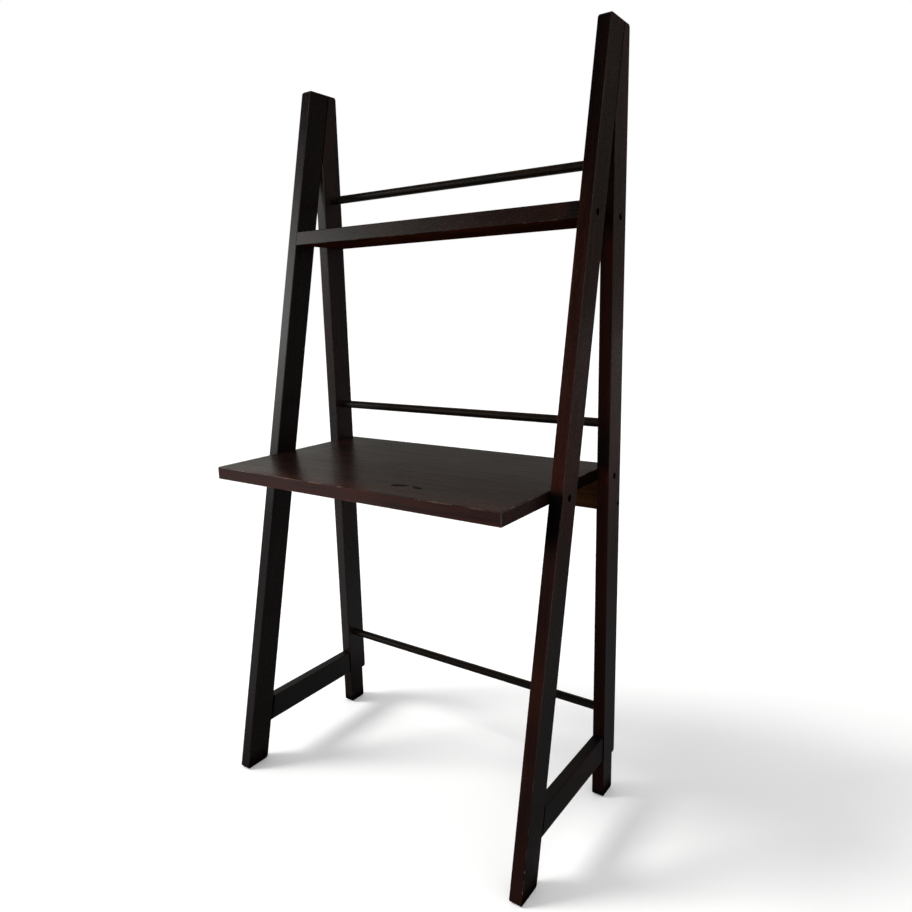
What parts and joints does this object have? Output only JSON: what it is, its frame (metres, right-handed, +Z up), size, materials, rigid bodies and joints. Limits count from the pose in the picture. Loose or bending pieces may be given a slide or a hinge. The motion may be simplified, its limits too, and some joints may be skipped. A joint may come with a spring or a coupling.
{
  "type": "ladder desk",
  "caption": "Open ladder desk: raked side frames carry a deep desktop and a shallow upper shelf, joined by round rails and a rear apron.",
  "frame": {"origin": "on the floor, in the middle of the desk's width and depth", "axes": "+Z up, +Y towards the wall behind the desk, the user sits on the -Y side, +X to the user's right"},
  "size_m": [0.79, 0.442, 1.61],
  "materials": {
    "frame_wood": "solid hardwood, dark espresso stain under semi-gloss lacquer, grain along each piece",
    "desktop_wood": "solid hardwood slab, dark espresso stain, semi-gloss lacquer, fine scratches",
    "shelf_wood": "solid hardwood slab, dark espresso stain, semi-gloss lacquer, worn lower edge",
    "apron_wood": "hardwood board, dark espresso stain, satin lacquer",
    "rail_wood": "turned hardwood dowel rail, dark espresso stain, semi-gloss lacquer",
    "bare_wood": "plain beech, unfinished",
    "bolt_steel": "black oxide steel",
    "nut_steel": "zinc-plated steel",
    "felt": "dark brown felt"
  },
  "bodies": {
    "root": {"apron_barrel_nuts": "nut_steel", "apron_bolts": "bolt_steel", "apron_dowels": "bare_wood", "back_apron": "apron_wood", "desktop": "desktop_wood", "desktop_barrel_nuts": "nut_steel", "desktop_bolts": "bolt_steel", "foot_pads": "felt", "left_back_leg": "frame_wood", "left_front_leg": "frame_wood", "left_seam_spline": "bare_wood", "left_side_stretcher": "frame_wood", "lower_rail": "rail_wood", "middle_rail": "rail_wood", "right_back_leg": "frame_wood", "right_front_leg": "frame_wood", "right_seam_spline": "bare_wood", "right_side_stretcher": "frame_wood", "shelf_barrel_nuts": "nut_steel", "shelf_bolts": "bolt_steel", "upper_rail": "rail_wood", "upper_shelf": "shelf_wood"}
  },
  "joints": []
}
